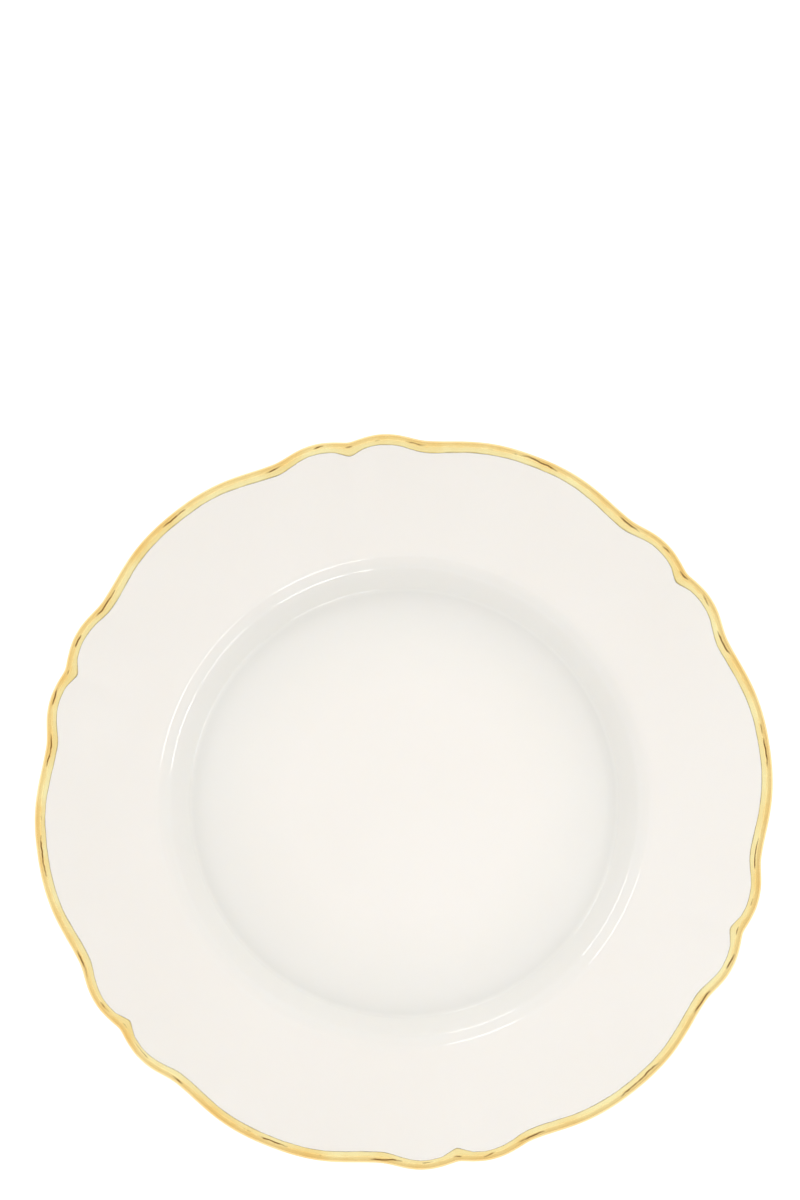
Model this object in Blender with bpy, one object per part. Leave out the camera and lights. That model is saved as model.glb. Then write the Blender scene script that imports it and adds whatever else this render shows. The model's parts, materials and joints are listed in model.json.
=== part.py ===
"""Scalloped porcelain dinner plate with a gilded rim, modelled as the layers it is made of.

The fired body stands on a foot ring whose bottom edge is bare. One sheet of glaze runs from the
outside of the foot ring, under the rim, round the lip and over the whole face. A second one lines
the recess inside the foot ring. A band of gold lies over the glaze on the lip.

The plate stands on z = 0 and is centred on the Z axis, with a main lobe of its rim on +X.
Lengths are in metres, and profile points are (radius, height).
"""

import math

import bmesh
import bpy
from mathutils import Vector

# Rim outline. Each sixth has a main lobe in the middle and a small lobe on each side of it.
# The small lobes of two neighbouring sixths meet in a cusp.
CREST_ANGLE = 0.0
VALLEY_ANGLE = 17.5
SMALL_CREST_ANGLE = 25.0
CUSP_ANGLE = 30.0
RIM_RADIUS = 0.135
VALLEY_DROP = 0.0030
SMALL_CREST_DROP = 0.0006
CUSP_DROP = 0.0026
SCALLOP_START = 0.100
SCALLOP_FULL = 0.129

# How much wider than at the main crests the gold band is.
BAND_WIDTH = 0.0036
VALLEY_EXTRA = 0.0004
SMALL_CREST_EXTRA = -0.0002
CUSP_EXTRA = 0.0011

# Layers.
GLAZE = 0.0003
GOLD = 0.00025
GAP = 0.0003
SKIN = GLAZE + GAP
GILDING = GOLD + GAP

# Face of the plate.
FLOOR_HEIGHT = 0.0064
FLOOR_RADIUS = 0.0770
FLOOR_FILLET = 0.004
WALL_SLOPE = math.radians(42)
BEVEL_SLOPE = math.radians(25)
FLANGE_SLOPE = math.radians(10.5)
INNER_SHOULDER = 0.0860
OUTER_SHOULDER = 0.0897
MID_FLANGE = 0.112

# Lip, underside and foot ring.
LIP_RADIUS = 0.00175
WALL_THICKNESS = 0.0040
UNDERSIDE_BEND = (0.0912, 0.0116)
FOOT_TOP = (0.0799, 0.0033)
FOOT_OUTER = 0.0789
FOOT_INNER = 0.0753
RECESS_HEIGHT = 0.0026
RECESS_FILLET = 0.0015
BARE_FOOT = 0.0010

# Steps round the plate and along its round stretches.
STEPS = 96
FILLET_STEPS = 2
LIP_STEPS = 4

COLOURS = {
    "porcelain_body": ((0.82, 0.80, 0.74, 1.0), 0.55, 0.0),
    "glaze_coat": ((0.90, 0.87, 0.80, 1.0), 0.08, 0.0),
    "foot_recess_glaze": ((0.90, 0.87, 0.80, 1.0), 0.08, 0.0),
    "gold_rim_band": ((0.90, 0.62, 0.24, 1.0), 0.18, 1.0),
}


def ease(share, fullness):
    """One at share 0 and zero at share 1, level at both ends; a larger fullness stays high longer."""
    return 0.5 + 0.5 * math.cos(math.pi * share**fullness)


def round_the_rim(angle, crest, valley, small_crest, cusp):
    """A value that runs through the four given ones from a main crest to a cusp; angle in degrees."""
    if angle <= VALLEY_ANGLE:
        share = angle / VALLEY_ANGLE
        return valley + (crest - valley) * ease(share, 1.5)
    if angle <= SMALL_CREST_ANGLE:
        share = (SMALL_CREST_ANGLE - angle) / (SMALL_CREST_ANGLE - VALLEY_ANGLE)
        return valley + (small_crest - valley) * ease(share, 1.25)
    share = (angle - SMALL_CREST_ANGLE) / (CUSP_ANGLE - SMALL_CREST_ANGLE)
    return small_crest + (cusp - small_crest) * share**1.6


def station_angle(step_angle):
    """Moves evenly spaced angles so that rows of vertices fall on the valleys and small crests."""
    even = (0.0, 15.0, 22.5, 30.0)
    wanted = (CREST_ANGLE, VALLEY_ANGLE, SMALL_CREST_ANGLE, CUSP_ANGLE)
    for low, high, start, end in zip(even, even[1:], wanted, wanted[1:]):
        if step_angle <= high:
            return start + (end - start) * (step_angle - low) / (high - low)
    return CUSP_ANGLE


def arc(centre, radius, start, end, steps):
    """Points on a circle, from one angle to another, both included; angles in radians."""
    angles = [start + (end - start) * i / steps for i in range(steps + 1)]
    return [(centre[0] + radius * math.cos(a), centre[1] + radius * math.sin(a)) for a in angles]


def face_profile():
    """The top of the glaze from the centre to the start of the lip."""
    fillet_centre = (FLOOR_RADIUS, FLOOR_HEIGHT + FLOOR_FILLET)
    fillet_end = -math.pi / 2 + WALL_SLOPE
    points = [(0.0, FLOOR_HEIGHT)]
    points += arc(fillet_centre, FLOOR_FILLET, -math.pi / 2, fillet_end, FILLET_STEPS)
    for radius, slope in (
        (INNER_SHOULDER, WALL_SLOPE),
        (OUTER_SHOULDER, BEVEL_SLOPE),
        (MID_FLANGE, FLANGE_SLOPE),
        (lip_centre_radius() - LIP_RADIUS * math.sin(FLANGE_SLOPE), FLANGE_SLOPE),
    ):
        last_radius, last_height = points[-1]
        points.append((radius, last_height + (radius - last_radius) * math.tan(slope)))
    return points


def lip_centre_radius():
    """Where the lip's round section is centred at a main crest."""
    return RIM_RADIUS - GILDING - LIP_RADIUS


def lip_centre():
    """The middle of the lip's round section at a main crest."""
    start_height = face_profile()[-1][1]
    return lip_centre_radius(), start_height - LIP_RADIUS * math.cos(FLANGE_SLOPE)


def lip_profile(radius, end):
    """The round of the lip, from where it leaves the flange to the angle end under it."""
    return arc(lip_centre(), radius, math.pi / 2 + FLANGE_SLOPE, end, LIP_STEPS)


def coat_profile():
    """The glazed outer surface from the centre of the face to the bare edge of the foot ring."""
    underside_normal = -math.pi / 2 + FLANGE_SLOPE
    wall_foot = face_profile()[FILLET_STEPS + 1]
    wall_back = (
        wall_foot[0] + WALL_THICKNESS * math.sin(WALL_SLOPE),
        wall_foot[1] - WALL_THICKNESS * math.cos(WALL_SLOPE),
    )
    points = face_profile()[:-1] + lip_profile(LIP_RADIUS, underside_normal)
    points += [UNDERSIDE_BEND, wall_back, FOOT_TOP]
    points.append((FOOT_OUTER + (FOOT_TOP[0] - FOOT_OUTER) * BARE_FOOT / FOOT_TOP[1], BARE_FOOT))
    return points


def recess_profile():
    """The glazed surface inside the foot ring, from its bare edge to the centre."""
    fillet_centre = (FOOT_INNER - RECESS_FILLET, RECESS_HEIGHT - RECESS_FILLET)
    points = [(FOOT_INNER, BARE_FOOT)]
    points += arc(fillet_centre, RECESS_FILLET, 0.0, math.pi / 2, FILLET_STEPS)
    points.append((0.0, RECESS_HEIGHT))
    return points


def inset(points, depth):
    """The profile moved into the material, which lies on its right-hand side."""
    normals = []
    for start, end in zip(points, points[1:]):
        step = Vector(end) - Vector(start)
        normals.append(Vector((step.y, -step.x)).normalized())
    before = [normals[0]] + normals
    after = normals + [normals[-1]]
    moved = []
    for point, first, second in zip(points, before, after):
        shift = (first + second) * depth / (1.0 + first.dot(second))
        moved.append((point[0] + shift.x, point[1] + shift.y))
    return moved


def body_profile():
    """The fired body: the glazed surfaces set back by the glaze, and the bare foot between them."""
    foot_edge = [(FOOT_OUTER - SKIN, 0.0), (FOOT_INNER + SKIN, 0.0)]
    return inset(coat_profile(), SKIN) + foot_edge + inset(recess_profile(), SKIN)


def glaze_coat_profile():
    """A sheet one glaze thick that ends at the axis on both sides."""
    outer = coat_profile()
    return outer + inset(outer, GLAZE)[::-1]


def recess_glaze_profile():
    """A shallow cap one glaze thick that lines the recess."""
    outer = recess_profile()
    return inset(outer, GLAZE)[::-1] + outer


def gold_profile():
    """A closed section that starts on the flange and wraps the lip; the border point comes first."""
    border_radius = RIM_RADIUS - BAND_WIDTH
    wrap_end = -math.radians(50)
    section = []
    for radius in (LIP_RADIUS + GILDING, LIP_RADIUS + GAP):
        round_part = lip_profile(radius, wrap_end)
        start_radius, start_height = round_part[0]
        drop = (start_radius - border_radius) * math.tan(FLANGE_SLOPE)
        side = [(border_radius, start_height - drop)] + round_part
        section += side if not section else side[::-1]
    return section


def scallop(mesh):
    """Draws the outer part of a turned shape in to the lobed outline."""
    for vertex in mesh.verts:
        radius = vertex.co.xy.length
        if radius <= SCALLOP_START:
            continue
        angle = math.degrees(math.atan2(vertex.co.y, vertex.co.x))
        sixth = round(angle / (2 * CUSP_ANGLE))
        offset = angle - sixth * 2 * CUSP_ANGLE
        moved = station_angle(abs(offset))
        share = min(1.0, (radius - SCALLOP_START) / (SCALLOP_FULL - SCALLOP_START))
        blend = share * share * (3.0 - 2.0 * share)
        radius -= blend * round_the_rim(moved, 0.0, VALLEY_DROP, SMALL_CREST_DROP, CUSP_DROP)
        turned = math.radians(sixth * 2 * CUSP_ANGLE + math.copysign(moved, offset))
        vertex.co.x = radius * math.cos(turned)
        vertex.co.y = radius * math.sin(turned)


def widen_band(mesh):
    """Moves the band's inner border down the flange at the valleys and cusps, and up at small crests."""
    border_radius = RIM_RADIUS - BAND_WIDTH
    for vertex in mesh.verts:
        radius = vertex.co.xy.length
        if radius > border_radius + GAP:
            continue
        angle = math.degrees(math.atan2(vertex.co.y, vertex.co.x))
        offset = abs(angle - round(angle / (2 * CUSP_ANGLE)) * 2 * CUSP_ANGLE)
        extra = round_the_rim(station_angle(offset), 0.0, VALLEY_EXTRA, SMALL_CREST_EXTRA, CUSP_EXTRA)
        vertex.co.xy *= (radius - extra) / radius
        vertex.co.z -= extra * math.tan(FLANGE_SLOPE)


def turn(profile, closed=False):
    """The profile turned round the Z axis, as a bmesh with its faces pointing out."""
    mesh = bmesh.new()
    verts = [mesh.verts.new((radius, 0.0, height)) for radius, height in profile]
    edges = [mesh.edges.new(pair) for pair in zip(verts, verts[1:])]
    if closed:
        edges.append(mesh.edges.new((verts[-1], verts[0])))
    bmesh.ops.spin(
        mesh,
        geom=verts + edges,
        cent=(0.0, 0.0, 0.0),
        axis=(0.0, 0.0, 1.0),
        angle=2 * math.pi,
        steps=STEPS,
    )
    bmesh.ops.remove_doubles(mesh, verts=mesh.verts[:], dist=0.00001)
    bmesh.ops.recalc_face_normals(mesh, faces=mesh.faces[:])
    return mesh


def material(name):
    """A Principled material with the layer's colour, roughness and metallic value."""
    colour, roughness, metallic = COLOURS[name]
    result = bpy.data.materials.new(name)
    result.use_nodes = True
    shader = result.node_tree.nodes["Principled BSDF"]
    shader.inputs["Base Color"].default_value = colour
    shader.inputs["Roughness"].default_value = roughness
    shader.inputs["Metallic"].default_value = metallic
    return result


def add_layer(name, mesh, collection):
    """Makes a named object from a bmesh, scalloped, shaded smooth and with its own material."""
    scallop(mesh)
    data = bpy.data.meshes.new(name)
    mesh.to_mesh(data)
    mesh.free()
    data.shade_smooth()
    data.set_sharp_from_angle(angle=math.radians(35))
    data.materials.append(material(name))
    collection.objects.link(bpy.data.objects.new(name, data))


def clear_scene():
    """Removes every object of the scene."""
    for thing in list(bpy.data.objects):
        bpy.data.objects.remove(thing, do_unlink=True)


def build():
    """Makes the plate's four layers in their own collection."""
    clear_scene()
    collection = bpy.data.collections.new("dinner_plate")
    bpy.context.scene.collection.children.link(collection)
    add_layer("porcelain_body", turn(body_profile()), collection)
    add_layer("glaze_coat", turn(glaze_coat_profile()), collection)
    add_layer("foot_recess_glaze", turn(recess_glaze_profile()), collection)
    band = turn(gold_profile(), closed=True)
    widen_band(band)
    add_layer("gold_rim_band", band, collection)


build()
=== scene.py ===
import json
import math

import bpy
import numpy as np
from mathutils import Matrix, Vector


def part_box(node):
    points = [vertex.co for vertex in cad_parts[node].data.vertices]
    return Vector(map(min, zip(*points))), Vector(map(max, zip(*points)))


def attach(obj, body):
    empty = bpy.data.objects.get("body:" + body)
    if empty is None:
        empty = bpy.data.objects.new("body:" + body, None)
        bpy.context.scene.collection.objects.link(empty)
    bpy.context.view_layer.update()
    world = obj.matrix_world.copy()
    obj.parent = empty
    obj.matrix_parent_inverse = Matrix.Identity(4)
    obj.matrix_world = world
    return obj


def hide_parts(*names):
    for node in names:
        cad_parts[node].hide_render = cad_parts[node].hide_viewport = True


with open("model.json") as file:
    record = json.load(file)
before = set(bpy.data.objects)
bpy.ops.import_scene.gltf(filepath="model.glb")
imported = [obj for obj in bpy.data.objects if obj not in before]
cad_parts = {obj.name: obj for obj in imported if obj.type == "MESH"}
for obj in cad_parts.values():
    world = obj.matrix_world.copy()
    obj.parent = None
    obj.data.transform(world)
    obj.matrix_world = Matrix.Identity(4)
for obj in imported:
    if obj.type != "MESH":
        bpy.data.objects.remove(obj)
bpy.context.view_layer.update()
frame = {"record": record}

MM = 0.001

# The layers: glaze over the fired body, and gold over the glaze.
GLAZE = 0.3 * MM
LAYER_GAP = 0.01 * MM
GOLD = 0.06 * MM

# The places that the frame gives. The box of the recess glaze reaches to the back of its sheet.
BAND_LOW, BAND_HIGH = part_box("gold_rim_band")
RECESS_LOW, RECESS_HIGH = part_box("foot_recess_glaze")
MOUNTS = {mount["name"]: mount["pos_m"] for mount in frame["record"]["mounts"]}
RIM_RADIUS = BAND_HIGH[0]
FLOOR_HEIGHT = MOUNTS["well_floor"][2]
FOOT_MIDDLE = MOUNTS["foot_ring"][0]
FOOT_BOTTOM = MOUNTS["foot_ring"][2]
FOOT_INNER = RECESS_HIGH[0] - GLAZE
BARE_FOOT = RECESS_LOW[2]
RECESS_HEIGHT = RECESS_HIGH[2] - GLAZE

# The outline of the rim, in sixths; angles are degrees from the middle of a main lobe. The drops and
# widths are for the main crest, the valley, the small crest and the cusp.
SIXTH = 60.0
VALLEY_ANGLE = 17.5
SMALL_CREST_ANGLE = 25.0
CUSP_ANGLE = 30.0
OUTLINE_DROPS = (0.0, 3.0 * MM, 0.6 * MM, 2.3 * MM)
LOBE_FULLNESS = 1.55
SMALL_LOBE_FULLNESS = 1.25
CUSP_ROUND = 0.12
CUSP_FALL = 1.6
SCALLOP_START = 100 * MM
SCALLOP_FULL = 129 * MM

# The section of the face. Near its edge the floor turns up a little before the wall starts.
FLOOR_DISH = 0.2 * MM
FLOOR_TURN = 75.3 * MM
FLOOR_TURN_ROUND = 37 * MM
FLOOR_TURN_SLOPE = math.radians(7)
FLOOR_CORNER = 78.6 * MM
FLOOR_CORNER_ROUND = 1.6 * MM
WALL_SLOPE = math.radians(42)
INNER_SHOULDER = 85.4 * MM
INNER_SHOULDER_ROUND = 6.0 * MM
BEVEL_SLOPE = math.radians(25)
OUTER_SHOULDER = 89.7 * MM
OUTER_SHOULDER_ROUND = 5.0 * MM
FLANGE_SLOPE = math.radians(10.5)

# The lip, the underside and the foot ring; the places are (radius, height).
LIP_ROUND = 2.1 * MM
UNDERSIDE_BEND = (91.2 * MM, 11.6 * MM)
UNDERSIDE_BEND_ROUND = 6.0 * MM
WALL_THICKNESS = 4.0 * MM
WALL_FOOT = (FLOOR_CORNER + 1.2 * MM, FLOOR_HEIGHT + 1.1 * MM)
WALL_BACK_ROUND = 2.0 * MM
FOOT_TOP = (79.9 * MM, 3.3 * MM)
FOOT_TOP_ROUND = 1.5 * MM
FOOT_OUTER = 2 * FOOT_MIDDLE - FOOT_INNER
FOOT_EDGE_ROUND = 0.35 * MM
FOOT_EDGE_TAPER = 0.1 * MM
FOOT_EDGE_START = BARE_FOOT * 0.9
RECESS_ROUND = 1.2 * MM

# Faint moulded creases that run in from the cusps: a fine ridge with a shallow groove on each side.
CREASE_INNER = 98 * MM
CREASE_OUTER = 126 * MM
RIDGE_HEIGHT = 0.06 * MM
RIDGE_WIDTH = 1.1 * MM
GROOVE_DEPTH = 0.13 * MM
GROOVE_WIDTH = 5.0 * MM
GROOVE_PLACE = 7.0 * MM

# The gold band. Its border is uneven: waves of (count in a turn, size in mm, shift in radians). Its
# width across is counted from 0 at the border, over the start of the lip, to 1 at its end below.
BAND_WIDTHS = (4.0 * MM, 4.3 * MM, 3.7 * MM, 4.0 * MM)
CUSP_POINT = 1.1 * MM
CUSP_POINT_SPREAD = 2.2
CUSP_POINT_ROUND = 0.12
BORDER_WAVES = (
    (1, 0.25, 3.6),
    (7, 0.05, 0.4),
    (19, 0.05, 2.1),
    (43, 0.035, 4.0),
    (97, 0.03, 1.2),
    (211, 0.02, 3.3),
)
FLAT_SHARES = (0.0, 0.04, 0.12, 0.3, 0.5, 0.7, 0.85)
LIP_START_ACROSS = 0.42
BAND_END_ANGLE = math.radians(-62)

# Painted dark reflection on the gold, in short dark lines where the outline turns: angle from the main
# crest, amount, spread in degrees.
DARK_REFLECTION_PLACES = (
    (0.0, 1.0, 4.0),
    (VALLEY_ANGLE, 0.95, 2.7),
    (SMALL_CREST_ANGLE, 0.85, 1.4),
    (CUSP_ANGLE, 0.85, 1.0),
)
# Painted dark reflection: the line's place across the band, its sway, core and fade, and how unevenly
# it shows.
DARK_REFLECTION_LINE = 0.48
DARK_REFLECTION_SWAY = 0.55
DARK_REFLECTION_CORE = 1.2
DARK_REFLECTION_FADE = 32.0
DARK_REFLECTION_UNEVENNESS = 3.0
DARK_REFLECTION_START = 0.48
DARK_REFLECTION_CONTRAST = 2.1

# Fineness: steps between key angles (crest, valley, small crest, cusp) and steps along each round.
ANGLE_STEPS = (28, 14, 18)
FINE_STEPS = 10
PLAIN_STEPS = 4
FINE_SPACING = 1.6 * MM
PLAIN_SPACING = 5.0 * MM
RECESS_SPACING = 6 * MM
RECESS_FINE_STEPS = 8
BAND_LIP_STEPS = 22
ON_AXIS = 0.0001 * MM

# Painted shade, darker and greyer towards the corner of the well and on the wall, with a slight tint
# where the glaze lies thicker: radius in mm, and its tone.
WELL_CORNER_SHADE_AND_POOLING = (
    (42, (1.0, 1.0, 1.0)),
    (58, (0.97, 0.98, 0.98)),
    (70, (0.93, 0.95, 0.96)),
    (77, (0.89, 0.915, 0.925)),
    (79, (0.955, 0.98, 0.985)),
    (86, (0.96, 0.98, 0.99)),
    (92, (1.0, 1.0, 1.0)),
)
GLAZE_ROUGHNESS = (0.05, 0.09)
SWELL_HEIGHT = 2.5
GLAZE_COLOURS = ((0.3, (0.903, 0.842, 0.766)), (0.7, (0.918, 0.860, 0.788)))
SPECK_COLOUR = (0.42, 0.34, 0.24)
SPECK_RADIUS = 0.035
SPECK_CHANCE = 0.02
SPECK_STRENGTH = 0.55
BISQUE_ROUGHNESS = (0.55, 0.8)
BISQUE_COLOURS = ((0.35, (0.62, 0.57, 0.49)), (0.65, (0.80, 0.77, 0.70)))

# The gold's colour across the band, where it is laid on thin and where it is laid on thick, with
# painted reflection in both: a dark painted shadow line at the border, pale over the flat part, deeper
# orange over the lip and paler at its far edge.
PALE_GOLD_AND_PAINTED_SHEEN = (
    (0.00, (0.42, 0.37, 0.22)),
    (0.03, (0.62, 0.54, 0.29)),
    (0.10, (0.98, 0.88, 0.50)),
    (0.40, (1.00, 0.90, 0.48)),
    (0.50, (0.94, 0.76, 0.35)),
    (0.60, (0.88, 0.67, 0.30)),
    (0.75, (0.84, 0.70, 0.42)),
)
RICH_GOLD_AND_PAINTED_SHEEN = (
    (0.00, (0.42, 0.34, 0.17)),
    (0.03, (0.62, 0.48, 0.21)),
    (0.10, (0.95, 0.75, 0.32)),
    (0.40, (0.96, 0.72, 0.28)),
    (0.50, (0.90, 0.60, 0.20)),
    (0.60, (0.84, 0.54, 0.18)),
    (0.75, (0.82, 0.62, 0.32)),
)
DARK_REFLECTION_COLOUR = (0.17, 0.06, 0.003)
GOLD_ROUGHNESS = (0.14, 0.32)
STROKE_SHIFT = 0.20
FINE_MOTTLE = 0.5
PATCH_CONTRAST = 2.8
PATCH_CUT = 1.6
SCRATCH_HEIGHT = 0.6

# The camera looks almost straight down, at a place above the plate's middle as the view shows it.
# Azimuths, here and for the lights, are degrees anticlockwise from the right side of that view.
VIEW_TURN = -8.75
VIEW_TILT = 3.4
VIEW_TILT_TOWARDS = 290.0
VIEW_DISTANCE = 4.0
VIEW_HEIGHT = 437.6 * MM
PLATE_ASIDE = 1.3 * MM
PLATE_BELOW = 73.4 * MM
SENSOR = 36.0

# The floor, which glows a little and lies just under the foot.
FLOOR_SIZE = 8.0
FLOOR_CLEARANCE = 0.05 * MM
FLOOR_COLOURS = ((0.3, (0.90, 0.90, 0.90)), (0.7, (0.91, 0.91, 0.91)))
FLOOR_GLOW = 0.42

# The room: places are (azimuth, zenith) in degrees, and a strength of 1 is full white. It brightens
# towards one side, between two cosines of the angle from it, and dims just below the horizon.
BRIGHT_SIDE = (150.0, 60.0)
ROOM_DIM = 0.904
ROOM_BRIGHT = 0.968
ROOM_FADE = (-0.3, 1.0)
BELOW = 0.85
HORIZON_FADE = (-0.15, 0.0)
OVERHEAD_PLACE = (125.0, 3.0)
OVERHEAD_GLOW = 0.6
OVERHEAD_EDGE = (2.6, 4.6)

# Lamps that light the plate and aren't reflected: name, azimuth, zenith, distance, size, strength.
LAMPS = (
    ("over_well", 5.0, 7.0, 0.32, (0.12, 0.12), 3.0),
    ("low_side", 62.0, 72.0, 2.2, (1.2, 0.4), 3.2),
)

# Pairs of soft boxes, one high and one low, that the two shoulder lines opposite them reflect: name,
# azimuth, spread, extra zenith, the high box's zenith, and the strengths of the high and low boxes.
# The view is a little off straight down, so the boxes on one side stand lower than on the other.
SEEN_TILT = 2.4
SOFT_BOXES = (
    ("upper_left_a", 110.0, 16.0, SEEN_TILT, 30.7, 4.8, 5.6),
    ("upper_left_b", 149.0, 22.0, SEEN_TILT, 33.0, 4.4, 5.6),
    ("lower_right_a", 279.0, 4.5, -SEEN_TILT, 30.7, 5.2, 8.0),
    ("lower_right_b", 293.5, 18.5, -SEEN_TILT, 30.7, 5.2, 8.0),
    ("lower_right_c", 322.0, 19.0, -SEEN_TILT, 30.7, 3.0, 4.6),
    ("lower_right_d", 344.5, 21.0, -SEEN_TILT, 30.7, 5.2, 8.0),
)
SOFT_BOX_DISTANCE = 2.2
HIGH_REACH = 12.0
LOW_ZENITH = 56.0
LOW_REACH = 8.0


def ease(share, fullness):
    """One at share 0 and zero at share 1, level at both ends; a larger fullness stays high longer."""
    return 0.5 + 0.5 * np.cos(np.pi * np.clip(share, 0.0, 1.0) ** fullness)


def smooth_step(value, low, high):
    """Zero below low, one above high, and an S curve between."""
    share = np.clip((value - low) / (high - low), 0.0, 1.0)
    return share * share * (3.0 - 2.0 * share)


def round_the_rim(offset, values):
    """A value that runs through four given ones: main crest, valley, small crest and cusp."""
    crest, valley, small_crest, cusp = values
    lobe = valley + (crest - valley) * ease(offset / VALLEY_ANGLE, LOBE_FULLNESS)
    reach = (SMALL_CREST_ANGLE - offset) / (SMALL_CREST_ANGLE - VALLEY_ANGLE)
    small_lobe = valley + (small_crest - valley) * ease(reach, SMALL_LOBE_FULLNESS)
    left = np.clip((CUSP_ANGLE - offset) / (CUSP_ANGLE - SMALL_CREST_ANGLE), 0.0, 1.0)
    share = 1.0 - (np.hypot(left, CUSP_ROUND) - CUSP_ROUND) / (math.hypot(1.0, CUSP_ROUND) - CUSP_ROUND)
    to_cusp = small_crest + (cusp - small_crest) * share**CUSP_FALL
    near_cusp = np.where(offset <= SMALL_CREST_ANGLE, small_lobe, to_cusp)
    return np.where(offset <= VALLEY_ANGLE, lobe, near_cusp)


def rim_angles():
    """Angles round the plate, closest together near the cusps, in degrees."""
    keys = (0.0, VALLEY_ANGLE, SMALL_CREST_ANGLE, CUSP_ANGLE)
    half = [
        low + (high - low) * i / steps
        for low, high, steps in zip(keys, keys[1:], ANGLE_STEPS)
        for i in range(steps)
    ]
    sixth = half + [SIXTH - a for a in [CUSP_ANGLE] + half[:0:-1]]
    return np.array([a + SIXTH * i for i in range(6) for a in sixth])


ANGLES = rim_angles()
OFFSETS = np.abs((ANGLES + CUSP_ANGLE) % SIXTH - CUSP_ANGLE)
COSINES = np.cos(np.radians(ANGLES))
SINES = np.sin(np.radians(ANGLES))

CORNER_HEIGHT = FLOOR_HEIGHT + (FLOOR_CORNER - FLOOR_TURN) * math.tan(FLOOR_TURN_SLOPE)
SHOULDER_HEIGHT = CORNER_HEIGHT + (INNER_SHOULDER - FLOOR_CORNER) * math.tan(WALL_SLOPE)
FLANGE_START = SHOULDER_HEIGHT + (OUTER_SHOULDER - INNER_SHOULDER) * math.tan(BEVEL_SLOPE)
LIP_CENTRE_RADIUS = RIM_RADIUS - GOLD - LAYER_GAP - LIP_ROUND
LIP_START = LIP_CENTRE_RADIUS - LIP_ROUND * math.sin(FLANGE_SLOPE)


def flange_height(radius):
    """The height of the glaze on the flange, before the creases."""
    return FLANGE_START + (radius - OUTER_SHOULDER) * math.tan(FLANGE_SLOPE)


LIP_CENTRE = (LIP_CENTRE_RADIUS, flange_height(LIP_START) - LIP_ROUND * math.cos(FLANGE_SLOPE))
LIP_TOP_ANGLE = math.pi / 2 + FLANGE_SLOPE
LIP_UNDER_ANGLE = -math.pi / 2 + FLANGE_SLOPE


def rounded(corners):
    """A line through corners of (radius, height, round, steps), with each round cut as an arc."""
    points = []
    for index, (radius, height, fillet, steps) in enumerate(corners):
        here = Vector((radius, height))
        if not fillet:
            points.append(tuple(here))
            continue
        before = (here - Vector(corners[index - 1][:2])).normalized()
        after = (Vector(corners[index + 1][:2]) - here).normalized()
        turn = math.atan2(before.cross(after), before.dot(after))
        start = here - before * fillet * math.tan(abs(turn) / 2)
        centre = start + Vector((-before.y, before.x)) * math.copysign(fillet, turn)
        for i in range(steps + 1):
            points.append(tuple(centre + Matrix.Rotation(turn * i / steps, 2) @ (start - centre)))
    return points


def filled_in(points, spacing):
    """The line with more points along its long straight stretches."""
    result = [points[0]]
    for start, end in zip(points, points[1:]):
        pieces = max(1, math.ceil(math.dist(start, end) / spacing))
        for i in range(1, pieces + 1):
            result.append(tuple(a + (b - a) * i / pieces for a, b in zip(start, end)))
    return result


def inset(points, depth):
    """The line moved into the material, which lies on its right-hand side."""
    line = np.array(points)
    steps = np.diff(line, axis=0)
    normals = np.column_stack((steps[:, 1], -steps[:, 0])) / np.linalg.norm(steps, axis=1)[:, None]
    before = np.vstack((normals[:1], normals))
    after = np.vstack((normals, normals[-1:]))
    share = depth / (1.0 + (before * after).sum(axis=1))
    return [tuple(p) for p in line + (before + after) * share[:, None]]


def arc(centre, radius, start, end, steps):
    """Points on a circle from one angle to another, in radians."""
    angles = np.linspace(start, end, steps + 1)
    return [(centre[0] + radius * math.cos(a), centre[1] + radius * math.sin(a)) for a in angles]


def coat_line(fine):
    """The glazed surface from the centre of the face, round the lip, to the bare edge of the foot."""
    steps = FINE_STEPS if fine else PLAIN_STEPS
    spacing = FINE_SPACING if fine else PLAIN_SPACING
    corners = [
        (0.0, FLOOR_HEIGHT, 0, 0),
        (FLOOR_TURN, FLOOR_HEIGHT, FLOOR_TURN_ROUND, steps),
        (FLOOR_CORNER, CORNER_HEIGHT, FLOOR_CORNER_ROUND, steps),
        (INNER_SHOULDER, SHOULDER_HEIGHT, INNER_SHOULDER_ROUND, steps),
        (OUTER_SHOULDER, FLANGE_START, OUTER_SHOULDER_ROUND, steps),
        (LIP_START, flange_height(LIP_START), 0, 0),
    ]
    face = filled_in(rounded(corners), spacing)[:-1]
    lip = arc(LIP_CENTRE, LIP_ROUND, LIP_TOP_ANGLE, LIP_UNDER_ANGLE, 2 * steps)
    wall_back = (
        WALL_FOOT[0] + WALL_THICKNESS * math.sin(WALL_SLOPE),
        WALL_FOOT[1] - WALL_THICKNESS * math.cos(WALL_SLOPE),
    )
    bare_edge = FOOT_OUTER + (FOOT_TOP[0] - FOOT_OUTER) * BARE_FOOT / FOOT_TOP[1]
    under_corners = [
        (*lip[-1], 0, 0),
        (*UNDERSIDE_BEND, UNDERSIDE_BEND_ROUND, steps),
        (*wall_back, WALL_BACK_ROUND, steps // 2),
        (*FOOT_TOP, FOOT_TOP_ROUND, steps // 2),
        (bare_edge, BARE_FOOT, 0, 0),
    ]
    return face + lip + filled_in(rounded(under_corners), 2 * spacing)[1:]


def recess_line(fine):
    """The glazed surface inside the foot ring, from its bare edge to the centre."""
    steps = RECESS_FINE_STEPS if fine else PLAIN_STEPS
    corners = [
        (FOOT_INNER, BARE_FOOT, 0, 0),
        (FOOT_INNER, RECESS_HEIGHT, RECESS_ROUND, steps),
        (0.0, RECESS_HEIGHT, 0, 0),
    ]
    return filled_in(rounded(corners), RECESS_SPACING)


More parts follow.
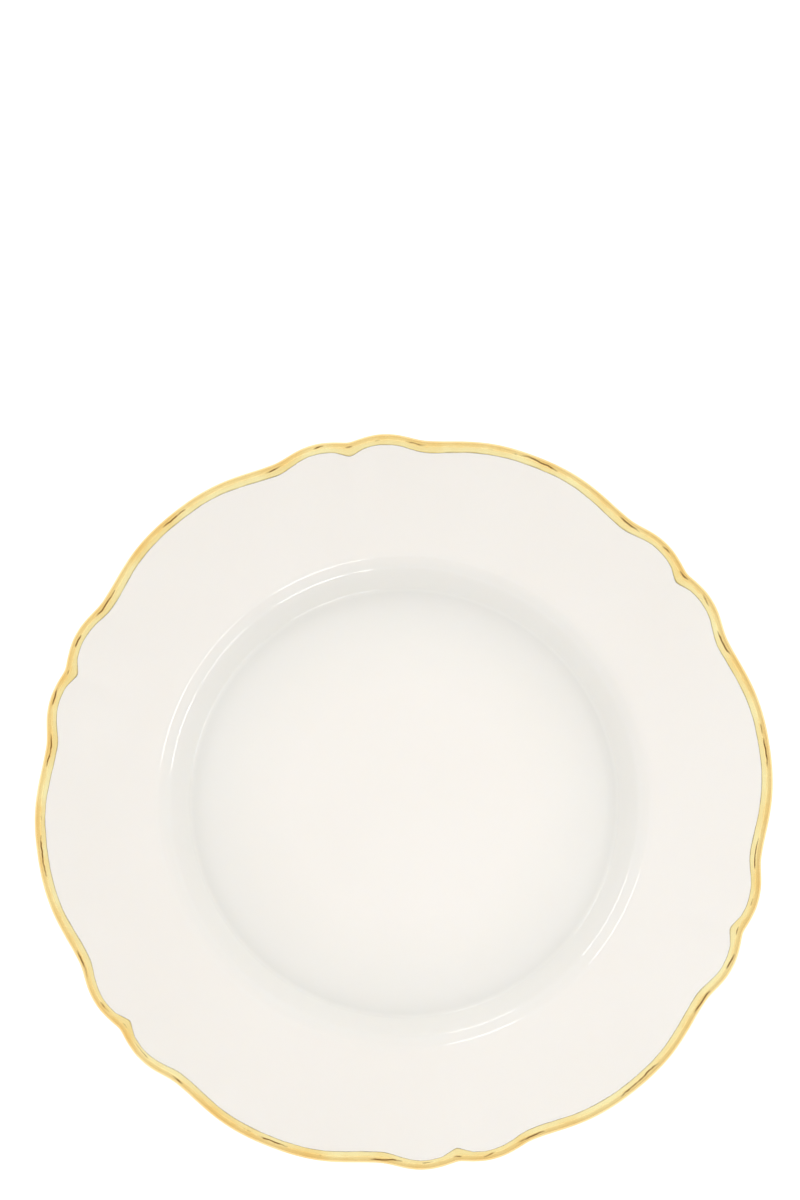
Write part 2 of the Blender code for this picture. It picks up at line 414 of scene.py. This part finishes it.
def shape_points(line):
    """The line turned round the axis and drawn in to the lobes: rings by angles by three."""
    radii, heights = (column[:, None] for column in np.array(line).T)
    drops = round_the_rim(OFFSETS, OUTLINE_DROPS)[None, :]
    drawn = radii - smooth_step(radii, SCALLOP_START, SCALLOP_FULL) * drops
    reach = smooth_step(radii, CREASE_INNER, CREASE_OUTER)
    aside = radii * np.radians(CUSP_ANGLE - OFFSETS)[None, :]
    ridge = RIDGE_HEIGHT * np.exp(-((aside / RIDGE_WIDTH) ** 2))
    groove = GROOVE_DEPTH * np.exp(-(((aside - GROOVE_PLACE) / GROOVE_WIDTH) ** 2))
    dish = FLOOR_DISH * (1.0 - np.clip(radii / FOOT_INNER, 0.0, 1.0) ** 2)
    raised = heights + reach * (ridge - groove) - dish
    return np.stack((drawn * COSINES, drawn * SINES, raised), axis=2)


def turned_mesh(name, rings, closed=False):
    """A mesh from rings of points; a ring on the axis becomes one point."""
    count = rings.shape[1]
    points, rows = [], []
    for ring in rings:
        if np.hypot(ring[:, 0], ring[:, 1]).max() < ON_AXIS:
            rows.append([len(points)] * count)
            points.append(ring[0])
        else:
            rows.append(range(len(points), len(points) + count))
            points.extend(ring)
    pairs = list(zip(rows, rows[1:]))
    if closed:
        pairs.append((rows[-1], rows[0]))
    faces = []
    for inner, outer in pairs:
        for i in range(count):
            j = (i + 1) % count
            corners = (inner[i], outer[i], outer[j], inner[j])
            faces.append(tuple(dict.fromkeys(corners)))
    mesh = bpy.data.meshes.new(name)
    mesh.from_pydata([tuple(p) for p in points], [], faces)
    mesh.validate()
    mesh.shade_smooth()
    return mesh


def coat_mesh():
    """The glaze that covers the face, the lip and the underside, as a closed sheet."""
    outer = coat_line(True)
    inner = inset(coat_line(False), GLAZE)
    return turned_mesh("glaze_sheet", shape_points(outer + inner[::-1]))


def recess_mesh():
    """The glaze inside the foot ring, as a closed shallow cap."""
    inner = inset(recess_line(False), GLAZE)
    return turned_mesh("recess_glaze_cap", shape_points(inner[::-1] + recess_line(True)))


def body_mesh():
    """The fired body under the glaze, with the round bare edge that it stands on."""
    glazed = inset(coat_line(False), GLAZE + LAYER_GAP)
    inside = inset(recess_line(False), GLAZE + LAYER_GAP)
    half_width = (FOOT_OUTER - FOOT_INNER) / 2
    edge = [
        (FOOT_MIDDLE + half_width, FOOT_EDGE_START, 0, 0),
        (FOOT_MIDDLE + half_width - FOOT_EDGE_TAPER, FOOT_BOTTOM, FOOT_EDGE_ROUND, PLAIN_STEPS),
        (FOOT_MIDDLE - half_width + FOOT_EDGE_TAPER, FOOT_BOTTOM, FOOT_EDGE_ROUND, PLAIN_STEPS),
        (FOOT_MIDDLE - half_width, FOOT_EDGE_START, 0, 0),
    ]
    return turned_mesh("fired_body", shape_points(glazed + rounded(edge) + inside))


def band_border():
    """The radius of the gold's border on the flange, at each angle."""
    near = (CUSP_ANGLE - OFFSETS) / CUSP_POINT_SPREAD
    point = CUSP_POINT * np.clip(1.0 + CUSP_POINT_ROUND - np.hypot(near, CUSP_POINT_ROUND), 0.0, 1.0)
    widths = round_the_rim(OFFSETS, BAND_WIDTHS) + point
    turns = np.radians(ANGLES)
    wobble = sum(size * np.sin(count * turns + shift) for count, size, shift in BORDER_WAVES)
    return LIP_CENTRE_RADIUS + LIP_ROUND - widths + wobble * MM


def band_side(border, lift):
    """Rings of one side of the gold, each with its place across, at a height over the glaze."""
    side = []
    for share in FLAT_SHARES:
        outward = (border - LIP_START) * (1.0 - share)
        edge_lift = LAYER_GAP if share == 0.0 else lift
        points = shape_points([(LIP_START, flange_height(LIP_START) + edge_lift)])[0]
        radii = outward + np.hypot(points[:, 0], points[:, 1])
        points[:, 0], points[:, 1] = radii * COSINES, radii * SINES
        points[:, 2] += outward * math.tan(FLANGE_SLOPE)
        side.append((points, share * LIP_START_ACROSS))
    round_part = arc(LIP_CENTRE, LIP_ROUND + lift, LIP_TOP_ANGLE, BAND_END_ANGLE, BAND_LIP_STEPS)
    for index, point in enumerate(round_part):
        across = LIP_START_ACROSS + (1.0 - LIP_START_ACROSS) * index / BAND_LIP_STEPS
        side.append((shape_points([point])[0], across))
    return side


def gold_mesh():
    """The gold band: a thin film from its uneven border on the flange to under the lip.

    Its points carry the direction from the axis and the place across the band, for the brush
    strokes, and how strong the painted dark reflection is there.
    """
    border = band_border()
    sides = band_side(border, GOLD + LAYER_GAP) + band_side(border, LAYER_GAP)[:0:-1]
    mesh = turned_mesh("gold_film", np.array([points for points, _ in sides]), closed=True)
    brush = np.array([(c, s, across) for _, across in sides for c, s in zip(COSINES, SINES)])
    attribute = mesh.attributes.new("brush", "FLOAT_VECTOR", "POINT")
    attribute.data.foreach_set("vector", brush.astype(np.float32).ravel())
    # Painted reflection: how strongly dark lines are painted on the gold near each key angle of the
    # outline.
    dark_reflection_share = sum(
        amount * np.exp(-(((OFFSETS - angle) / spread) ** 2)) for angle, amount, spread in DARK_REFLECTION_PLACES
    )
    attribute = mesh.attributes.new("dark_reflection_share", "FLOAT", "POINT")
    attribute.data.foreach_set("value", np.tile(dark_reflection_share, len(sides)).astype(np.float32))
    return mesh


class Nodes:
    """A short way to write a node tree."""

    def __init__(self, tree):
        self.tree = tree

    def put(self, value, socket):
        """Links an output to a socket, or sets the socket's own value."""
        if isinstance(value, bpy.types.NodeSocket):
            self.tree.links.new(value, socket)
        else:
            socket.default_value = value

    def add(self, kind, settings=None, **inputs):
        """Adds a node; settings are its properties, and inputs its sockets, values or links."""
        node = self.tree.nodes.new(kind)
        for key, value in (settings or {}).items():
            setattr(node, key, value)
        for key, value in inputs.items():
            self.put(value, node.inputs[key.replace("_", " ")])
        return node

    def calculate(self, kind, operation, *values):
        """A Math or Vector Math node."""
        node = self.add(kind, {"operation": operation})
        for socket, value in zip(node.inputs, values):
            self.put(value, socket)
        return node

    def math(self, operation, *values):
        """A Math node's result."""
        return self.calculate("ShaderNodeMath", operation, *values).outputs[0]

    def clamped(self, value):
        """The value held between 0 and 1."""
        return self.add("ShaderNodeClamp", Value=value).outputs[0]

    def swing(self, value, size):
        """A 0 to 1 value turned into one about zero, of the given size."""
        return self.math("MULTIPLY", self.math("SUBTRACT", value, 0.5), size)

    def between(self, value, low, high):
        """The value, 0 to 1, spread from low to high."""
        return self.add("ShaderNodeMapRange", Value=value, To_Min=low, To_Max=high).outputs[0]

    def noise(self, vector, scale, detail=2.0):
        """A noise value from 0 to 1."""
        return self.add("ShaderNodeTexNoise", Vector=vector, Scale=scale, Detail=detail).outputs[0]

    def ramp(self, value, stops):
        """A colour ramp through (place, colour) stops."""
        node = self.add("ShaderNodeValToRGB", Fac=value)
        elements = node.color_ramp.elements
        while len(elements) < len(stops):
            elements.new(0.5)
        for element, (place, colour) in zip(elements, stops):
            element.position = place
            element.color = (*colour, 1.0)
        return node.outputs[0]

    def mix(self, share, first, second, blend="MIX"):
        """A colour between two: share 0 gives the first."""
        node = self.add("ShaderNodeMix", {"data_type": "RGBA", "blend_type": blend}, Factor=share)
        for socket, colour in ((node.inputs[6], first), (node.inputs[7], second)):
            self.put((*colour, 1.0) if isinstance(colour, tuple) else colour, socket)
        return node.outputs[2]


def new_material(name):
    """A material with an empty Principled shader, its node writer, and the object's own places."""
    look = bpy.data.materials.new(name)
    look.use_nodes = True
    nodes = Nodes(look.node_tree)
    place = nodes.add("ShaderNodeTexCoord").outputs["Object"]
    return look, nodes, look.node_tree.nodes["Principled BSDF"].inputs, place


def glaze_material():
    """Clear glaze over white porcelain: warm ivory, glossy, with a faint ripple, rare specks and
    painted shade towards the corner of the well.
    """
    look, nodes, shader, place = new_material("glazed_porcelain")
    colour = nodes.ramp(nodes.noise(place, scale=14.0, detail=3.0), GLAZE_COLOURS)
    speck = nodes.add("ShaderNodeTexVoronoi", Vector=place, Scale=95.0)
    near = nodes.math("LESS_THAN", speck.outputs["Distance"], SPECK_RADIUS)
    draw = nodes.add("ShaderNodeSeparateColor", Color=speck.outputs["Color"]).outputs[0]
    rare = nodes.math("LESS_THAN", draw, SPECK_CHANCE)
    amount = nodes.math("MULTIPLY", nodes.math("MULTIPLY", near, rare), SPECK_STRENGTH)
    specked = nodes.mix(amount, colour, SPECK_COLOUR)

    # Painted shade: the base colour is multiplied darker and greyer by radius, deepest in the corner of
    # the well.
    axes = nodes.add("ShaderNodeSeparateXYZ", Vector=place).outputs
    squares = [nodes.math("MULTIPLY", axes[a], axes[a]) for a in "XY"]
    radius = nodes.math("SQRT", nodes.math("ADD", *squares))
    share = nodes.math("DIVIDE", radius, RIM_RADIUS)
    painted_well_shade = nodes.ramp(share, [(r * MM / RIM_RADIUS, tone) for r, tone in WELL_CORNER_SHADE_AND_POOLING])
    nodes.put(nodes.mix(1.0, specked, painted_well_shade, "MULTIPLY"), shader["Base Color"])
    nodes.put(nodes.between(nodes.noise(place, scale=60.0), *GLAZE_ROUGHNESS), shader["Roughness"])

    swell = nodes.math("MULTIPLY", nodes.noise(place, scale=34.0, detail=1.0), SWELL_HEIGHT)
    ripple = nodes.math("ADD", nodes.noise(place, scale=180.0, detail=1.0), swell)
    bump = nodes.add("ShaderNodeBump", Strength=0.10, Distance=0.12 * MM, Height=ripple)
    nodes.put(bump.outputs["Normal"], shader["Normal"])
    shader["IOR"].default_value = 1.5
    shader["Subsurface Weight"].default_value = 0.25
    shader["Subsurface Radius"].default_value = (1.0, 0.8, 0.6)
    shader["Subsurface Scale"].default_value = 1.2 * MM
    return look


def bisque_material():
    """Fired porcelain without glaze: pale, dry and fine-grained, a little soiled where it stands."""
    look, nodes, shader, place = new_material("bisque_porcelain")
    grain = nodes.noise(place, scale=1400.0, detail=3.0)
    stain = nodes.noise(place, scale=45.0, detail=4.0)
    nodes.put(nodes.ramp(stain, BISQUE_COLOURS), shader["Base Color"])
    nodes.put(nodes.between(grain, *BISQUE_ROUGHNESS), shader["Roughness"])
    bump = nodes.add("ShaderNodeBump", Strength=0.5, Distance=0.04 * MM, Height=grain)
    nodes.put(bump.outputs["Normal"], shader["Normal"])
    return look


def gold_material():
    """Hand-painted gold, with painted reflection: pale where it lies flat, redder over the lip, and
    short dark lines of painted reflection where the outline turns.
    """
    look, nodes, shader, place = new_material("burnished_gold")
    brush = nodes.add("ShaderNodeAttribute", {"attribute_name": "brush"}).outputs["Vector"]
    across = nodes.add("ShaderNodeSeparateXYZ", Vector=brush).outputs["Z"]
    along = nodes.calculate("ShaderNodeVectorMath", "MULTIPLY", brush, (1.0, 1.0, 0.0)).outputs[0]

    strokes = nodes.noise(brush, scale=26.0, detail=4.0)
    wander = nodes.math("ADD", across, nodes.swing(strokes, STROKE_SHIFT))
    fine_mottle = nodes.math("MULTIPLY", nodes.noise(brush, scale=70.0), FINE_MOTTLE)
    mottle = nodes.math("ADD", nodes.noise(along, scale=7.0, detail=2.0), fine_mottle)
    contrast = nodes.math("MULTIPLY", mottle, PATCH_CONTRAST)
    patches = nodes.clamped(nodes.math("SUBTRACT", contrast, PATCH_CUT))
    # Painted reflection and shade across the band: a dark shadow line at the border, pale over the flat
    # part, deeper orange over the lip.
    colour = nodes.mix(patches, nodes.ramp(wander, RICH_GOLD_AND_PAINTED_SHEEN), nodes.ramp(wander, PALE_GOLD_AND_PAINTED_SHEEN))

    # Painted reflection: short dark lines across the gold where the outline turns, mixed into its
    # colour.
    sway = nodes.swing(nodes.noise(along, scale=6.0, detail=4.0), DARK_REFLECTION_SWAY)
    off_line = nodes.math("SUBTRACT", nodes.math("ADD", across, sway), DARK_REFLECTION_LINE)
    fade = nodes.math("MULTIPLY", nodes.math("ABSOLUTE", off_line), DARK_REFLECTION_FADE)
    line = nodes.clamped(nodes.math("SUBTRACT", DARK_REFLECTION_CORE, fade))
    dark_reflection_share = nodes.add("ShaderNodeAttribute", {"attribute_name": "dark_reflection_share"}).outputs["Fac"]
    unevenness = nodes.swing(nodes.noise(along, scale=15.0, detail=4.0), DARK_REFLECTION_UNEVENNESS)
    excess = nodes.math("SUBTRACT", nodes.math("ADD", dark_reflection_share, unevenness), DARK_REFLECTION_START)
    dark_reflection_strength = nodes.math("MULTIPLY", excess, DARK_REFLECTION_CONTRAST)
    painted_dark_reflection = nodes.math("MULTIPLY", line, nodes.clamped(dark_reflection_strength))
    nodes.put(nodes.mix(painted_dark_reflection, colour, DARK_REFLECTION_COLOUR), shader["Base Color"])

    shader["Metallic"].default_value = 1.0
    scratches = nodes.noise(place, scale=420.0, detail=3.0)
    nodes.put(nodes.between(scratches, *GOLD_ROUGHNESS), shader["Roughness"])
    height = nodes.math("ADD", strokes, nodes.math("MULTIPLY", scratches, SCRATCH_HEIGHT))
    bump = nodes.add("ShaderNodeBump", Strength=0.35, Distance=0.05 * MM, Height=height)
    nodes.put(bump.outputs["Normal"], shader["Normal"])
    return look


def add_piece(name, mesh, look, node):
    """Adds a piece that stands for a CAD node, with its material."""
    piece = bpy.data.objects.new(name, mesh)
    bpy.context.scene.collection.objects.link(piece)
    mesh.materials.append(look)
    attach(piece, "root")
    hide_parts(node)
    return piece


def add_plate():
    """The plate's four pieces; returns the two glazed ones."""
    glaze = glaze_material()
    glazed = [
        add_piece("glaze_sheet", coat_mesh(), glaze, "glaze_coat"),
        add_piece("recess_glaze_cap", recess_mesh(), glaze, "foot_recess_glaze"),
    ]
    add_piece("fired_body", body_mesh(), bisque_material(), "porcelain_body")
    add_piece("gold_film", gold_mesh(), gold_material(), "gold_rim_band")
    return glazed


def add_floor():
    """A plain pale floor. It doesn't light the plate, so that the shadow under the rim shows."""
    height = FOOT_BOTTOM - FLOOR_CLEARANCE
    bpy.ops.mesh.primitive_plane_add(size=FLOOR_SIZE, location=(0.0, 0.0, height))
    floor = bpy.context.object
    floor.name = "floor"
    look, nodes, shader, place = new_material("pale_floor")
    tone = nodes.ramp(nodes.noise(place, scale=3.0), FLOOR_COLOURS)
    nodes.put(tone, shader["Base Color"])
    nodes.put(tone, shader["Emission Color"])
    shader["Emission Strength"].default_value = FLOOR_GLOW
    shader["Roughness"].default_value = 0.9
    floor.data.materials.append(look)
    floor.visible_diffuse = False


def direction(azimuth, zenith):
    """A unit vector towards a place that is given as the view shows it, in degrees."""
    turn, tilt = math.radians(azimuth + VIEW_TURN), math.radians(zenith)
    return Vector((math.cos(turn) * math.sin(tilt), math.sin(turn) * math.sin(tilt), math.cos(tilt)))


def add_camera():
    """A long lens from almost straight above, moved aside and not shifted."""
    rim_height = (BAND_LOW[2] + BAND_HIGH[2]) / 2
    right, up = direction(0.0, 90.0), direction(90.0, 90.0)
    target = Vector((0.0, 0.0, rim_height)) - right * PLATE_ASIDE + up * PLATE_BELOW
    data = bpy.data.cameras.new("camera")
    data.sensor_width = SENSOR
    data.lens = SENSOR * VIEW_DISTANCE / VIEW_HEIGHT
    data.clip_start, data.clip_end = 0.1, 20.0
    camera = bpy.data.objects.new("camera", data)
    camera.location = target + direction(VIEW_TILT_TOWARDS, VIEW_TILT) * VIEW_DISTANCE
    back = (camera.location - target).normalized()
    side = up.cross(back).normalized()
    top = back.cross(side)
    camera.rotation_euler = Matrix((side, top, back)).transposed().to_euler()
    bpy.context.scene.collection.objects.link(camera)
    bpy.context.scene.camera = camera


def add_room():
    """A pale room, a little brighter on one side, with a round soft light straight overhead."""
    world = bpy.data.worlds.new("room")
    bpy.context.scene.world = world
    world.use_nodes = True
    nodes = Nodes(world.node_tree)
    way = nodes.add("ShaderNodeTexCoord").outputs["Generated"]

    def ranged(value, low, high, dim, bright, shape="LINEAR"):
        """A value that rises from dim to bright while another one goes from low to high."""
        limits = {"From_Min": low, "From_Max": high, "To_Min": dim, "To_Max": bright}
        node = nodes.add("ShaderNodeMapRange", {"interpolation_type": shape}, Value=value, **limits)
        return node.outputs[0]

    def towards(place):
        """The cosine of the angle from a place: 1 straight towards it."""
        product = nodes.calculate("ShaderNodeVectorMath", "DOT_PRODUCT", way, direction(*place))
        return product.outputs["Value"]

    room = ranged(towards(BRIGHT_SIDE), *ROOM_FADE, ROOM_DIM, ROOM_BRIGHT, "SMOOTHSTEP")
    inside, outside = (math.cos(math.radians(a)) for a in OVERHEAD_EDGE)
    overhead = ranged(towards(OVERHEAD_PLACE), outside, inside, 0.0, OVERHEAD_GLOW, "SMOOTHSTEP")
    height = nodes.add("ShaderNodeSeparateXYZ", Vector=way).outputs["Z"]
    above = ranged(height, *HORIZON_FADE, BELOW, 1.0)
    light = nodes.math("MULTIPLY", nodes.math("ADD", room, overhead), above)
    seen = nodes.add("ShaderNodeLightPath").outputs["Is Camera Ray"]
    background = world.node_tree.nodes["Background"].inputs
    background["Color"].default_value = (1.0, 1.0, 1.0, 1.0)
    nodes.put(nodes.math("MAXIMUM", light, seen), background["Strength"])


def add_light(name, azimuth, zenith, distance, size, strength):
    """A flat light that looks at the plate; strength is its brightness against a white surface's 1."""
    width, height = size
    data = bpy.data.lights.new(name, "AREA")
    data.shape = "RECTANGLE"
    data.size, data.size_y = width, height
    data.energy = strength * math.pi * width * height
    light = bpy.data.objects.new(name, data)
    light.location = direction(azimuth, zenith) * distance
    light.rotation_euler = light.location.to_track_quat("Z", "Y").to_euler()
    light.visible_camera = False
    bpy.context.scene.collection.objects.link(light)
    return light


def add_lights(glazed_pieces):
    """Two lamps, and the soft boxes, which only the glaze reflects."""
    for lamp in LAMPS:
        add_light(*lamp).visible_glossy = False
    glazed = bpy.data.collections.new("glazed")
    for piece in glazed_pieces:
        glazed.objects.link(piece)
    for name, azimuth, spread, extra, high_zenith, high_strength, low_strength in SOFT_BOXES:
        for level, zenith, reach, strength in (
            ("high", high_zenith, HIGH_REACH, high_strength),
            ("low", LOW_ZENITH, LOW_REACH, low_strength),
        ):
            seen = zenith + extra
            from_axis = SOFT_BOX_DISTANCE * math.sin(math.radians(seen))
            width = 2 * from_axis * math.tan(math.radians(spread / 2))
            height = 2 * SOFT_BOX_DISTANCE * math.tan(math.radians(reach / 2))
            place = (azimuth, seen, SOFT_BOX_DISTANCE)
            box = add_light(f"{name}_{level}", *place, (width, height), strength)
            box.visible_diffuse = False
            box.light_linking.receiver_collection = glazed


bpy.context.scene.view_settings.view_transform = "Standard"
glazed_pieces = add_plate()
add_floor()
add_camera()
add_room()
add_lights(glazed_pieces)
